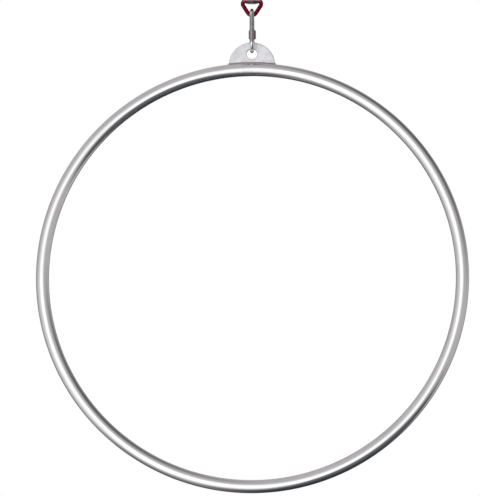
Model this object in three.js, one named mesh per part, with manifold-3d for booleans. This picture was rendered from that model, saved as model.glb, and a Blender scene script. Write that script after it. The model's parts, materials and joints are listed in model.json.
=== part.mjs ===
// Aerial hoop with a single welded tab, hung from a screw-gate carabiner and a ball-bearing swivel.
// Millimetres. X runs across the hoop, Y away from the viewer and Z up.
// The origin is the point inside the swivel's upper eye on which the whole set hangs.
import * as THREE from 'three';
import { mergeVertices } from 'three/addons/utils/BufferGeometryUtils.js';
import Module from 'manifold-3d';

const wasm = await Module();
wasm.setup();

// Clearances and facets shared by every piece
const gap = 0.3;
const overrun = 2;
const roundSides = 32;
const barSides = 12;
const smallSides = 20;

// Hoop
const hoopDiameter = 800;
const tubeDiameter = 25;
const tubeWall = 2;
const tubeSides = 16;
const tubeBoreSides = 8;
const hoopSteps = 72;
const seamOffset = 11;
const seamWeldWidth = 3;

// Tab on top of the hoop
const tabRadius = 43.2;
const tabCentreDrop = 4.8;
const tabRoot = 4;
const tabThickness = 8;
const tabEdge = 0.7;
const tabHoleDiameter = 19.6;
const tabHoleHeight = 16.8;
const tabHoleChamfer = 0.8;
const filletRadius = 2;
const filletReach = 0.4;
const filletSteps = 16;

// Swivel eyes, the same above and below
const eyeBar = 7.8;
const eyeBevel = 3.6;
const eyeBevelSteps = 3;
const eyeArcSteps = 4;
const eyeCornerRadius = 11;
const eyeHalfWidth = 21.1;
const eyeApexInnerRadius = 5.2;
const eyeReach = 34.8;

// Swivel housings
const housingRadius = 17.5;
const housingChamfer = 1.2;
const splitGap = 0.6;

// Swivel bearing, from the split downwards
const axleRadius = 5;
const axleTopInset = 0.6;
const axleChamfer = 0.8;
const axleHeadRadius = 9.6;
const axleHeadHeight = 3.2;
const flangeThickness = 4;
const cavityRadius = 12.4;
const raceThickness = 2.5;
const raceBore = 5.9;
const ballRadius = 1.5;
const ballCount = 10;
const ballPitchRadius = 9;
const raceSpacing = 2.4;
const cageThickness = 1.2;
const cageInnerRadius = 6.2;
const cageOuterRadius = 11.6;
const bushWall = 0.8;
const bushCollar = 1.4;
const bushCollarThickness = 0.9;
const sealInnerRadius = 13;
const sealOuterRadius = 15.4;
const sealThickness = 1.2;
const lockPinRadius = 1.5;
const lockPinDepth = 6.3;
const lockPinInset = 0.6;

// Cap that closes the bearing
const capSeatDepth = 2.3;
const capRadius = 13;
const capDrop = 4.2;
const capRim = 1;
const capSkirt = 1.4;
const capSkirtWall = 1.2;
const capArcSteps = 4;

// Carabiner
const stockDiameter = 8;
const bendRadius = 18;
const bodySteps = 48;
const hingeHeight = 21;
const gateLength = 33.5;
const noseDrop = 30;
const noseGap = 0.5;
const tangThickness = 3;
const hingeTangRadius = 3.9;
const hingeTangWidth = 6.8;
const hingeTangReach = 5.8;
const hingeTangOverlap = 2.5;
const latchTangLength = 6.6;
const latchTangInner = 3;
const latchTangOuter = 3.4;
const latchPinRadius = 1.2;
const latchPinDrop = 3.5;
const latchPinInset = 0.4;
const latchNotchClearance = 0.4;

// Gate and screw sleeve
const gateBulgeRadius = 4.8;
const gateBulgeHeight = 5.6;
const gateBulgeTaper = 1.4;
const gateChamfer = 0.5;
const rivetRadius = 1.5;
const rivetHeadRadius = 2.6;
const rivetHeadThickness = 0.85;
const rivetSpan = 10.7;
const sleeveDiameter = 13.7;
const sleeveLength = 17;
const sleeveClearance = 9.5;
const sleeveChamfer = 1.2;
const sleeveFlutes = 12;
const sleeveFluteDepth = 0.35;

// Places that follow from the sizes
const hoopRadius = hoopDiameter / 2;
const tubeRadius = tubeDiameter / 2;
const centrelineRadius = hoopRadius - tubeRadius;
const stockRadius = stockDiameter / 2;
const splitZ = -eyeReach;
const eyeApexCentre = eyeReach - eyeApexInnerRadius;
const gateTop = hingeHeight + gateLength;
const noseHeight = gateTop + noseGap;
const carabinerLength = noseHeight + noseDrop;
const carabinerTop = splitZ - eyeReach + gap + stockDiameter;
const carabinerBottom = carabinerTop - carabinerLength;
const sleeveBottom = hingeHeight + sleeveClearance;
const bowInnerRadius = bendRadius - stockRadius;
const bearingHalf = tabThickness / 2 - tabHoleChamfer;
const bowRise = bowInnerRadius - Math.sqrt(bowInnerRadius ** 2 - bearingHalf ** 2);
const tabHoleRadius = tabHoleDiameter / 2;
const tabHoleZ = carabinerBottom + stockDiameter + bowRise + gap - tabHoleRadius;
const tubeTopZ = tabHoleZ - tabHoleHeight;
const hoopCentreZ = tubeTopZ - hoopRadius;

const flangeBottom = splitGap / 2 + flangeThickness;
const upperRaceTop = flangeBottom + gap;
const upperRaceBottom = upperRaceTop + raceThickness;
const ballDepth = upperRaceBottom + raceSpacing / 2;
const lowerRaceTop = upperRaceBottom + raceSpacing;
const lowerRaceBottom = lowerRaceTop + raceThickness;
const axleHeadTop = lowerRaceBottom + gap;
const axleHeadBottom = axleHeadTop + axleHeadHeight;
const housingHeight = lowerRaceBottom + capSeatDepth;
const lockPinHeight = housingHeight - lockPinDepth;

// Materials
function finish(color, roughness, metalness) {
  return () => new THREE.MeshStandardMaterial({ color, roughness, metalness });
}
const polishedSteel = finish(0xc9cac8, 0.2, 1);
const zincPlate = finish(0xb9b7bd, 0.45, 0.9);
const weldMetal = finish(0x8d8a88, 0.5, 0.9);
const platedSteel = finish(0xb4b8ba, 0.25, 1);
const redAnodised = finish(0x7a1330, 0.35, 0.8);
const blackPolymer = finish(0x17171a, 0.5, 0);
const bearingSteel = finish(0xd2d4d6, 0.15, 1);
const bronze = finish(0xa9803f, 0.4, 1);

// A closed geometry as a solid that can be joined and cut
function solid(geometry) {
  const bare = geometry.clone();
  bare.deleteAttribute('normal');
  bare.deleteAttribute('uv');
  const merged = mergeVertices(bare);
  const corners = merged.index.array;
  const faces = [];
  for (let i = 0; i < corners.length; i += 3) {
    const [a, b, c] = [corners[i], corners[i + 1], corners[i + 2]];
    if (a !== b && b !== c && c !== a) faces.push(a, b, c);
  }
  const mesh = (order) => new wasm.Mesh({
    numProp: 3,
    vertProperties: new Float32Array(merged.attributes.position.array),
    triVerts: new Uint32Array(order),
  });
  const made = new wasm.Manifold(mesh(faces));
  if (made.volume() > 0) return made;
  return new wasm.Manifold(mesh(faces.reverse()));
}

function geometryOf(shape) {
  const mesh = shape.getMesh();
  const geometry = new THREE.BufferGeometry();
  geometry.setAttribute('position', new THREE.BufferAttribute(new Float32Array(mesh.vertProperties), 3));
  geometry.setIndex(new THREE.BufferAttribute(new Uint32Array(mesh.triVerts), 1));
  geometry.computeVertexNormals();
  return geometry;
}

// A body turned about Z from points of radius and height
function turned(points, sides = roundSides) {
  const outline = points.map(([radius, height]) => new THREE.Vector2(radius, height));
  return solid(new THREE.LatheGeometry(outline, sides).rotateX(Math.PI / 2));
}

// A turned ring whose profile closes on itself
function turnedRing(points, sides = roundSides) {
  return turned([...points, points[0]], sides);
}

function rod(radius, from, to, sides = smallSides) {
  return turned([[0, from], [radius, from], [radius, to], [0, to]], sides);
}

// The same rod laid along X or Y
function rodAlongX(radius, from, to, y, z, sides = smallSides) {
  return rod(radius, from, to, sides).rotate([0, 90, 0]).translate([0, y, z]);
}

function rodAlongY(radius, from, to, x, z, sides = smallSides) {
  return rod(radius, from, to, sides).rotate([-90, 0, 0]).translate([x, 0, z]);
}

function box(width, depth, height, x, y, z) {
  return solid(new THREE.BoxGeometry(width, depth, height)).translate([x, y, z]);
}

function polygon(radius, sides) {
  const points = [];
  for (let i = 0; i < sides; i += 1) {
    const angle = (i / sides) * Math.PI * 2;
    points.push(new THREE.Vector2(radius * Math.cos(angle), radius * Math.sin(angle)));
  }
  return points;
}

function sweep(section, path, steps) {
  return solid(new THREE.ExtrudeGeometry(section, { steps, extrudePath: path, curveSegments: 1 }));
}

// An arc in the hoop's plane, measured clockwise from the top of the hoop
class HoopArc extends THREE.Curve {
  constructor(start, end, radius = centrelineRadius, y = 0) {
    super();
    Object.assign(this, { start, end, radius, y });
  }

  getPoint(t, target = new THREE.Vector3()) {
    const angle = this.start + (this.end - this.start) * t;
    return target.set(this.radius * Math.sin(angle), this.y, this.radius * Math.cos(angle));
  }
}

// An arc in the carabiner's plane, measured from +Y towards +Z
class BendArc extends THREE.Curve {
  constructor(centreZ, start, end, radius = bendRadius) {
    super();
    Object.assign(this, { centreZ, start, end, radius });
  }

  getPoint(t, target = new THREE.Vector3()) {
    const angle = this.start + (this.end - this.start) * t;
    return target.set(0, this.radius * Math.cos(angle), this.centreZ + this.radius * Math.sin(angle));
  }
}

const model = new THREE.Group();

function group(z) {
  const made = new THREE.Group();
  made.position.set(0, 0, z);
  model.add(made);
  return made;
}

function part(name, shape, material, parent) {
  const mesh = new THREE.Mesh(geometryOf(shape), material());
  mesh.name = name;
  parent.add(mesh);
  return mesh;
}

// Hoop tube: bent round and butt welded a little left of the tab's middle
const hoop = group(hoopCentreZ);
const seamAngle = -seamOffset / centrelineRadius;
const seamHalf = (seamWeldWidth / 2 + gap) / centrelineRadius;

function tubeSection() {
  const section = new THREE.Shape(polygon(tubeRadius, tubeSides));
  section.holes.push(new THREE.Path(polygon(tubeRadius - tubeWall, tubeBoreSides)));
  return section;
}

const tubeArc = new HoopArc(seamAngle + seamHalf, seamAngle + Math.PI * 2 - seamHalf);
part('hoop_tube', sweep(tubeSection(), tubeArc, hoopSteps), polishedSteel, hoop);

const weldHalf = seamWeldWidth / 2 / centrelineRadius;
const seamArc = new HoopArc(seamAngle - weldHalf, seamAngle + weldHalf);
part('seam_weld', sweep(tubeSection(), seamArc, 1), weldMetal, hoop);

// Room that the tube takes under the tab, a clearance larger than the tube
const tabAngle = Math.asin(tabRadius / hoopRadius);
const reachAngle = tabAngle + (filletRadius + overrun) / hoopRadius;
const tubeRoom = sweep(
  new THREE.Shape(polygon(tubeRadius + gap, tubeSides)),
  new HoopArc(-reachAngle, reachAngle),
  filletSteps,
);

// Tab: a half disc of plate, coped over the tube and bored for the carabiner
function tabBlank(grow, edge) {
  const outline = new THREE.Shape();
  const radius = tabRadius + grow;
  const baseZ = hoopRadius - tabCentreDrop;
  outline.absarc(0, baseZ, radius, 0, Math.PI, false);
  outline.lineTo(-radius, baseZ - tabRoot);
  outline.lineTo(radius, baseZ - tabRoot);
  const thickness = tabThickness + grow * 2;
  const blank = new THREE.ExtrudeGeometry(outline, {
    depth: thickness - edge * 2,
    bevelEnabled: edge > 0,
    bevelThickness: edge,
    bevelSize: edge,
    bevelOffset: -edge,
    bevelSegments: 1,
    curveSegments: roundSides / 2,
  });
  blank.rotateX(Math.PI / 2);
  blank.translate(0, thickness / 2 - edge, 0);
  return solid(blank);
}

const holeLocalZ = tabHoleZ - hoopCentreZ;
const holeHalf = tabThickness / 2;
const holeOut = holeHalf + overrun;
const holeWide = tabHoleRadius + tabHoleChamfer + overrun;
const tabHole = turned([
  [0, -holeOut],
  [holeWide, -holeOut],
  [tabHoleRadius, -bearingHalf],
  [tabHoleRadius, bearingHalf],
  [holeWide, holeOut],
  [0, holeOut],
]).rotate([-90, 0, 0]).translate([0, 0, holeLocalZ]);
part('tab_plate', tabBlank(0, tabEdge).subtract(tabHole).subtract(tubeRoom), zincPlate, hoop);

// Fillet weld that runs along both faces of the tab and round its ends
class FilletPath extends THREE.Curve {
  constructor(side) {
    super();
    this.side = side;
  }

  // One step turns round each end, so a section of the sweep lies at each corner of the tab
  getPoint(t, target = new THREE.Vector3()) {
    const half = tabRadius + filletReach;
    const cross = half * 2 / (filletSteps - 2);
    const run = (half + cross) * 2 * t - cross;
    const past = Math.max(-run, run - half * 2, 0);
    const along = THREE.MathUtils.clamp(run, 0, half * 2) - half;
    const y = this.side * (tabThickness / 2 + filletReach - past);
    const radius = centrelineRadius + Math.sqrt(tubeRadius ** 2 - y ** 2);
    const angle = Math.asin(along / radius);
    return target.set(radius * Math.sin(angle), y, radius * Math.cos(angle));
  }
}

function filletHalf(side) {
  return sweep(new THREE.Shape(polygon(filletRadius, barSides)), new FilletPath(side), filletSteps);
}
const fillet = filletHalf(-1).add(filletHalf(1)).subtract(tubeRoom).subtract(tabBlank(gap, 0));
part('tab_weld', fillet, weldMetal, hoop);

// Swivel eye: a rounded bar drawn as a triangle with soft corners
function eyeOutline(path, inset) {
  const cornerRadius = eyeCornerRadius - inset;
  const apexRadius = eyeApexInnerRadius + eyeBar - inset;
  const cornerX = eyeHalfWidth - eyeCornerRadius;
  const cornerDepth = housingHeight + eyeCornerRadius - eyeBar;
  const fall = Math.atan2(-(eyeApexCentre - cornerDepth), -cornerX);
  const reach = Math.hypot(cornerX, eyeApexCentre - cornerDepth);
  const tangent = fall + Math.acos((cornerRadius - apexRadius) / reach);
  path.absarc(-cornerX, -cornerDepth, cornerRadius, Math.PI / 2, -Math.PI - tangent, false);
  path.absarc(0, -eyeApexCentre, apexRadius, -Math.PI - tangent, tangent, false);
  path.absarc(cornerX, -cornerDepth, cornerRadius, tangent, Math.PI / 2, false);
  path.closePath();
  return path;
}

function eyeRing() {
  const outline = eyeOutline(new THREE.Shape(), 0);
  outline.holes.push(eyeOutline(new THREE.Path(), eyeBar));
  const ring = new THREE.ExtrudeGeometry(outline, {
    depth: eyeBar - eyeBevel * 2,
    bevelThickness: eyeBevel,
    bevelSize: eyeBevel,
    bevelOffset: -eyeBevel,
    bevelSegments: eyeBevelSteps,
    curveSegments: eyeArcSteps,
  });
  ring.rotateX(Math.PI / 2);
  ring.translate(0, eyeBar / 2 - eyeBevel, 0);
  return solid(ring);
}

function housing() {
  return turned([
    [0, -splitGap / 2],
    [housingRadius - housingChamfer / 2, -splitGap / 2],
    [housingRadius, -splitGap / 2 - housingChamfer / 2],
    [housingRadius, -housingHeight + housingChamfer],
    [housingRadius - housingChamfer, -housingHeight],
    [0, -housingHeight],
  ]);
}

// Upper half, which stays with whatever the hoop hangs from
const swivel = group(splitZ);
const axleBore = rod(axleRadius + gap, -overrun - housingHeight, overrun);
const lockPinBore = rodAlongY(
  lockPinRadius + gap,
  -housingRadius - overrun,
  housingRadius + overrun,
  0,
  lockPinHeight,
  barSides,
);
const upperEye = housing().add(eyeRing()).subtract(axleBore).rotate([180, 0, 0]).subtract(lockPinBore);
part('swivel_upper_eye', upperEye, redAnodised, swivel);

const axleTop = housingHeight - axleTopInset;
const axle = turned([
  [0, -axleHeadBottom],
  [axleHeadRadius - axleChamfer, -axleHeadBottom],
  [axleHeadRadius, -axleHeadBottom + axleChamfer],
  [axleHeadRadius, -axleHeadTop],
  [axleRadius, -axleHeadTop],
  [axleRadius, axleTop - axleChamfer],
  [axleRadius - axleChamfer, axleTop],
  [0, axleTop],
], smallSides).subtract(lockPinBore);
part('swivel_axle', axle, platedSteel, swivel);

const lockPinHalf = Math.sqrt(housingRadius ** 2 - lockPinRadius ** 2) - lockPinInset;
const lockPin = rodAlongY(lockPinRadius, -lockPinHalf, lockPinHalf, 0, lockPinHeight, barSides);
part('axle_lock_pin', lockPin, platedSteel, swivel);

// Lower half, which turns on the thrust bearing
const bushOuter = axleRadius + gap + bushWall;
const collarOuter = bushOuter + bushCollar;
const collarTop = splitGap / 2 + gap;
const collarBottom = collarTop + bushCollarThickness;
const sealTop = splitGap / 2 - gap;
const sealBottom = sealTop + sealThickness;
const bearingRoom = turned([
  [0, overrun],
  [collarOuter + gap, overrun],
  [collarOuter + gap, -collarBottom - gap],
  [bushOuter + gap, -collarBottom - gap],
  [bushOuter + gap, -flangeBottom],
  [cavityRadius, -flangeBottom],
  [cavityRadius, -housingHeight],
  [capRadius + gap, -housingHeight],
  [capRadius + gap, -housingHeight - capDrop],
  [0, -housingHeight - capDrop],
]);
const sealGroove = turnedRing([
  [sealInnerRadius - gap, overrun],
  [sealInnerRadius - gap, -sealBottom - gap],
  [sealOuterRadius + gap, -sealBottom - gap],
  [sealOuterRadius + gap, overrun],
]);
const lowerEye = housing().add(eyeRing()).subtract(bearingRoom).subtract(sealGroove);
part('swivel_lower_eye', lowerEye, redAnodised, swivel);

part('dust_seal', turnedRing([
  [sealInnerRadius, -sealTop],
  [sealInnerRadius, -sealBottom],
  [sealOuterRadius, -sealBottom],
  [sealOuterRadius, -sealTop],
]), blackPolymer, swivel);

part('radial_bush', turnedRing([
  [axleRadius + gap, -collarTop],
  [axleRadius + gap, -flangeBottom],
  [bushOuter, -flangeBottom],
  [bushOuter, -collarBottom],
  [collarOuter, -collarBottom],
  [collarOuter, -collarTop],
], smallSides), bronze, swivel);

// Thrust bearing: two grooved races, a cage and its balls
const grooveRadius = ballRadius + gap;
const grooveArcSteps = 4;
const raceOuter = cavityRadius - gap;

function race(outerDepth, faceDepth) {
  const side = Math.sign(outerDepth - faceDepth);
  const rise = Math.abs(faceDepth - ballDepth);
  const half = Math.sqrt(grooveRadius ** 2 - rise ** 2);
  const edge = Math.acos(half / grooveRadius);
  const profile = [[raceBore, -outerDepth], [raceBore, -faceDepth]];
  for (let i = 0; i <= grooveArcSteps; i += 1) {
    const angle = edge + (Math.PI - edge * 2) * (i / grooveArcSteps);
    const radius = ballPitchRadius - grooveRadius * Math.cos(angle);
    profile.push([radius, -(ballDepth + side * grooveRadius * Math.sin(angle))]);
  }
  profile.push([raceOuter, -faceDepth], [raceOuter, -outerDepth]);
  return turnedRing(profile, smallSides);
}
part('bearing_race_upper', race(upperRaceTop, upperRaceBottom), bearingSteel, swivel);
part('bearing_race_lower', race(lowerRaceBottom, lowerRaceTop), bearingSteel, swivel);

let cage = turnedRing([
  [cageInnerRadius, -ballDepth + cageThickness / 2],
  [cageInnerRadius, -ballDepth - cageThickness / 2],
  [cageOuterRadius, -ballDepth - cageThickness / 2],
  [cageOuterRadius, -ballDepth + cageThickness / 2],
]);
const ballPlaces = [];
for (let i = 0; i < ballCount; i += 1) {
  const angle = (i / ballCount) * Math.PI * 2;
  ballPlaces.push([ballPitchRadius * Math.cos(angle), ballPitchRadius * Math.sin(angle), -ballDepth]);
}
for (const place of ballPlaces) {
  cage = cage.subtract(rod(ballRadius + gap, -overrun, overrun, barSides).translate(place));
}
part('bearing_cage', cage, bronze, swivel);

const ball = solid(new THREE.IcosahedronGeometry(ballRadius, 1));
ballPlaces.forEach((place, i) => {
  const mesh = part(`bearing_ball_${String(i + 1).padStart(2, '0')}`, ball, bearingSteel, swivel);
  mesh.position.set(...place);
});

// Domed cap pushed up into the bottom of the housing, hollow over the head of the axle
const capTop = housingHeight + gap;
const capOuter = cavityRadius - gap;
const capInner = capOuter - capSkirtWall;
const capFloor = axleHeadBottom + gap;
const dome = [];
for (let i = 0; i <= capArcSteps; i += 1) {
  const angle = (i / capArcSteps) * Math.PI / 2;
  const fall = capTop + capRim + (capDrop - gap - capRim) * Math.sin(angle);
  dome.unshift([capRadius * Math.cos(angle), -fall]);
}
dome[0][0] = 0;
const cap = turned([
  ...dome,
  [capRadius, -capTop],
  [capOuter, -capTop],
  [capOuter, -capTop + capSkirt],
  [capInner, -capTop + capSkirt],
  [capInner, -capFloor],
  [0, -capFloor],
]);
part('bearing_cap', cap, blackPolymer, swivel);

// Carabiner body: round stock bent into an oval, with a tang at each end of the gate's opening
const carabiner = group(carabinerBottom);
const lowBend = stockRadius + bendRadius;
const highBend = carabinerLength - stockRadius - bendRadius;

function line(fromY, fromZ, toY, toZ) {
  return new THREE.LineCurve3(new THREE.Vector3(0, fromY, fromZ), new THREE.Vector3(0, toY, toZ));
}
const hingeAngle = Math.asin((lowBend - hingeHeight) / bendRadius);
const stockStart = hingeAngle + hingeTangReach / bendRadius;
const bodyPath = new THREE.CurvePath();
bodyPath.add(new BendArc(lowBend, -stockStart, -Math.PI));
bodyPath.add(line(-bendRadius, lowBend, -bendRadius, highBend));
bodyPath.add(new BendArc(highBend, Math.PI, 0));
bodyPath.add(line(bendRadius, highBend, bendRadius, noseHeight));
const stock = sweep(new THREE.Shape(polygon(stockRadius, barSides)), bodyPath, bodySteps);

const tangHalf = tangThickness / 2;
const tangWidthHalf = hingeTangWidth / 2;
const tangSection = new THREE.Shape([
  new THREE.Vector2(-tangHalf, -tangWidthHalf),
  new THREE.Vector2(tangHalf, -tangWidthHalf),
  new THREE.Vector2(tangHalf, tangWidthHalf),
  new THREE.Vector2(-tangHalf, tangWidthHalf),
]);
const tangPath = new BendArc(lowBend, -hingeAngle, -stockStart - hingeTangOverlap / bendRadius);
const tangBlade = solid(new THREE.ExtrudeGeometry(tangSection, { steps: 4, extrudePath: tangPath }));
const tangEye = rodAlongX(hingeTangRadius, -tangHalf, tangHalf, bendRadius, hingeHeight);
const rivetBore = rodAlongX(
  rivetRadius + gap,
  -gateBulgeRadius - overrun,
  gateBulgeRadius + overrun,
  bendRadius,
  hingeHeight,
);

// The nose's tang hooks round the latch pin and is open towards the inside of the carabiner
const latchPinZ = noseHeight - latchPinDrop;
const notchRadius = latchPinRadius + latchNotchClearance;
const latchWidth = latchTangInner + latchTangOuter;
const latchTang = box(
  tangThickness,
  latchWidth,
  latchTangLength + stockRadius,
  0,
  bendRadius + (latchTangOuter - latchTangInner) / 2,
  noseHeight - latchTangLength + (latchTangLength + stockRadius) / 2,
);
const latchNotch = rodAlongX(notchRadius, -tangThickness, tangThickness, bendRadius, latchPinZ).add(box(
  tangThickness * 2,
  latchTangInner + overrun,
  notchRadius * 2,
  0,
  bendRadius - (latchTangInner + overrun) / 2,
  latchPinZ,
));
const body = stock.add(tangBlade).add(tangEye).subtract(rivetBore).add(latchTang).subtract(latchNotch);
part('carabiner_body', body, platedSteel, carabiner);

// Gate: a turned barrel forked at both ends
const bulgeTop = hingeHeight + gateBulgeHeight;
const barrel = turned([
  [0, hingeHeight],
  [gateBulgeRadius, hingeHeight],
  [gateBulgeRadius, bulgeTop - gateBulgeTaper],
  [stockRadius, bulgeTop],
  [stockRadius, gateTop - gateChamfer],
  [stockRadius - gateChamfer, gateTop],
  [0, gateTop],
], smallSides);
const cheekBlank = rod(gateBulgeRadius, hingeHeight - gateBulgeRadius, hingeHeight + gateChamfer);
const cheekRound = rodAlongX(gateBulgeRadius, -gateBulgeRadius - overrun, gateBulgeRadius + overrun, 0, hingeHeight);
const forkWidth = tangThickness + gap * 2;
const slotDepth = (gateBulgeRadius + overrun) * 2;
const hingeSlotTop = hingeHeight + hingeTangRadius + gap;
const hingeSlotBottom = hingeHeight - gateBulgeRadius - overrun;
const hingeSlot = box(
  forkWidth,
  slotDepth,
  hingeSlotTop - hingeSlotBottom,
  0,
  0,
  (hingeSlotTop + hingeSlotBottom) / 2,
);
const latchSlotBottom = noseHeight - latchTangLength - gap * 2;
const latchSlotTop = gateTop + overrun;
const latchSlot = box(
  forkWidth,
  slotDepth,
  latchSlotTop - latchSlotBottom,
  0,
  0,
  (latchSlotTop + latchSlotBottom) / 2,
);
const latchPinBore = rodAlongX(latchPinRadius + gap, -stockDiameter, stockDiameter, 0, latchPinZ, barSides);
const rivetSeat = rivetSpan / 2 - rivetHeadThickness - gap;
const headRoom = rodAlongX(rivetHeadRadius + gap, rivetSeat, rivetSpan, 0, hingeHeight);
const gate = barrel
  .add(cheekBlank.intersect(cheekRound))
  .subtract(hingeSlot)
  .subtract(latchSlot)
  .subtract(latchPinBore)
  .subtract(headRoom)
  .subtract(headRoom.mirror([1, 0, 0]))
  .translate([0, bendRadius, 0])
  .subtract(rivetBore);
part('gate_barrel', gate, platedSteel, carabiner);

const headSeat = rivetSpan / 2 - rivetHeadThickness;
const rivet = turned([
  [0, -rivetSpan / 2],
  [rivetHeadRadius / 2, -rivetSpan / 2],
  [rivetHeadRadius, -headSeat - rivetHeadThickness / 2],
  [rivetHeadRadius, -headSeat],
  [rivetRadius, -headSeat],
  [rivetRadius, headSeat],
  [rivetHeadRadius, headSeat],
  [rivetHeadRadius, headSeat + rivetHeadThickness / 2],
  [rivetHeadRadius / 2, rivetSpan / 2],
  [0, rivetSpan / 2],
], barSides).rotate([0, 90, 0]).translate([0, bendRadius, hingeHeight]);
part('gate_hinge_rivet', rivet, platedSteel, carabiner);

const latchPinHalf = stockRadius - latchPinInset;
const latchPin = rodAlongX(latchPinRadius, -latchPinHalf, latchPinHalf, bendRadius, latchPinZ, barSides);
part('gate_latch_pin', latchPin, platedSteel, carabiner);

// Screw sleeve: fluted outside, chamfered at both ends, backed off to the hinge end
function sleeve() {
  const outline = [];
  const pointsPerFlute = 4;
  const points = sleeveFlutes * pointsPerFlute;
  for (let i = 0; i < points; i += 1) {
    const angle = (i / points) * Math.PI * 2;
    const dip = i % pointsPerFlute === 0 ? sleeveFluteDepth : 0;
    const radius = sleeveDiameter / 2 - dip;
    outline.push(new THREE.Vector2(radius * Math.cos(angle), radius * Math.sin(angle)));
  }
  const blank = solid(new THREE.ExtrudeGeometry(new THREE.Shape(outline), {
    depth: sleeveLength - sleeveChamfer * 2,
    bevelThickness: sleeveChamfer,
    bevelSize: sleeveChamfer,
    bevelOffset: -sleeveChamfer,
    bevelSegments: 1,
  }));
  const bore = rod(stockRadius + gap, -sleeveChamfer - overrun, sleeveLength + overrun);
  return blank.subtract(bore).translate([0, bendRadius, sleeveBottom + sleeveChamfer]);
}
part('screw_sleeve', sleeve(), redAnodised, carabiner);

export default model;
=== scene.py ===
# %% [markdown]
# # A hoop for aerial dance
#
# The object is a big ring of round steel tube. A half disc of plate is welded on top of it, and a
# carabiner joins that plate to a swivel, which lets the hoop turn. The bodies, sizes and joints come
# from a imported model, the frame. This lesson gives every piece its visible surface.

# %% Load the frame
import json
import random
from math import acos, asin, atan2, copysign, cos, pi, radians, sin, sqrt, tau

import bmesh
import bpy
from mathutils import Matrix, Vector


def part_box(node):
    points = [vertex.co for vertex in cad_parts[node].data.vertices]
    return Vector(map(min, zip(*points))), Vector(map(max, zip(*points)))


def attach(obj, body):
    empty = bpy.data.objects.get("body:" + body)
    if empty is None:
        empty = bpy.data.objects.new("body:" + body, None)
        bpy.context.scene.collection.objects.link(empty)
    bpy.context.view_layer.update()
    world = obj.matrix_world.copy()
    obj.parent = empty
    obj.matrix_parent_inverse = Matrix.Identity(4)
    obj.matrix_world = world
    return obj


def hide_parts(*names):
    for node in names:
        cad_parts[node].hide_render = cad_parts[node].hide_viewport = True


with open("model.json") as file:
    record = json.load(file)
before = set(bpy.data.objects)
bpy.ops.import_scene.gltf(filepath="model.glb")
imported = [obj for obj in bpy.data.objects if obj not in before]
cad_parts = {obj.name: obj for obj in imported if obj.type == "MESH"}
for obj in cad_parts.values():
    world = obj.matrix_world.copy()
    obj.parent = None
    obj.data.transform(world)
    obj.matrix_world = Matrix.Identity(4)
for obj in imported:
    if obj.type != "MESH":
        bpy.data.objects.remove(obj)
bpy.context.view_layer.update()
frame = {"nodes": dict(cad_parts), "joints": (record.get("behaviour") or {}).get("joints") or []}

# %% [markdown]
# ## Where things are
#
# A designer would not type the places again, because they would drift apart from the model. Joint
# places and piece sizes are asked from the frame, so the surfaces always fit it.

# %% Places from the frame
joint_place = {joint["name"]: Vector(joint.get("pos_m", (0, 0, 0))) for joint in frame["joints"]}
hinge = joint_place["gate_hinge"]
split_z = joint_place["swivel_spin"].z
tube_low, tube_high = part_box("hoop_tube")
tube_radius = (tube_high.y - tube_low.y) / 2
hoop_radius = (tube_high.x - tube_low.x) / 2
hoop_centre = Vector((0, 0, tube_low.z + hoop_radius))
centreline_radius = hoop_radius - tube_radius
hoop_length = tau * centreline_radius
print(f"hoop {2000 * hoop_radius:.0f} mm across, tube {2000 * tube_radius:.0f} mm")

# %% [markdown]
# ## Mesh helpers
#
# Most pieces here are turned on a lathe or bent from bar. Both are rows of points joined row to row,
# so one helper that joins rings of points makes nearly all of them. A modifier stack could do the
# same, but a list of rings shows plainly where every edge of the piece lies.

# %% Join rings of points
weld_distance = 0.000002


def span(start, end, steps):
    """Equal steps from start to end, both included."""
    return [start + (end - start) * k / steps for k in range(steps + 1)]


def around(sides):
    """Equal angles round a full turn."""
    return span(0, tau, sides)[:-1]


def quarter(steps):
    """Angles from zero to a right angle, both included."""
    return span(0, pi / 2, steps)


def add_object(name, data):
    """Puts a mesh, a lamp or a camera into the scene."""
    piece = bpy.data.objects.new(name, data)
    bpy.context.scene.collection.objects.link(piece)
    return piece


def link_mesh(name, mesh):
    """Ends the work on a mesh and makes an object of it."""
    data = bpy.data.meshes.new(name)
    mesh.to_mesh(data)
    mesh.free()
    return add_object(name, data)


def ring_mesh(name, rings, closed=False, capped=False, uv=None):
    """A mesh over rings of equally many points. uv gives a place in metres for ring i, point j."""
    count = len(rings[0])
    mesh = bmesh.new()
    rows = [[mesh.verts.new(point) for point in ring] for ring in rings]
    layer = mesh.loops.layers.uv.new("metres") if uv else None
    spans = len(rings) if closed else len(rings) - 1
    for i in range(spans):
        for j in range(count):
            corners = [(i, j), (i, j + 1), (i + 1, j + 1), (i + 1, j)]
            face = mesh.faces.new([rows[a % len(rings)][b % count] for a, b in corners])
            if layer:
                for loop, (a, b) in zip(face.loops, corners):
                    loop[layer].uv = uv(a, b)
    if capped:
        mesh.faces.new(list(reversed(rows[0])))
        mesh.faces.new(rows[-1])
    bmesh.ops.remove_doubles(mesh, verts=mesh.verts, dist=weld_distance)
    bmesh.ops.recalc_face_normals(mesh, faces=mesh.faces)
    return link_mesh(name, mesh)


# %% [markdown]
# A turned piece is drawn as half of its outline: radius and height, from one end to the other. Real
# edges are never perfectly sharp, and the small radius on an edge is what catches the light, so a
# second helper rounds the corners of the outline before it is turned.

# %% Turned pieces
side_parts = 2.2
turned_sides = 64
pin_sides = 40
lay_along = {
    "X": Matrix.Rotation(pi / 2, 4, "Y"),
    "Y": Matrix.Rotation(-pi / 2, 4, "X"),
    "Z": Matrix(),
}


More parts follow.
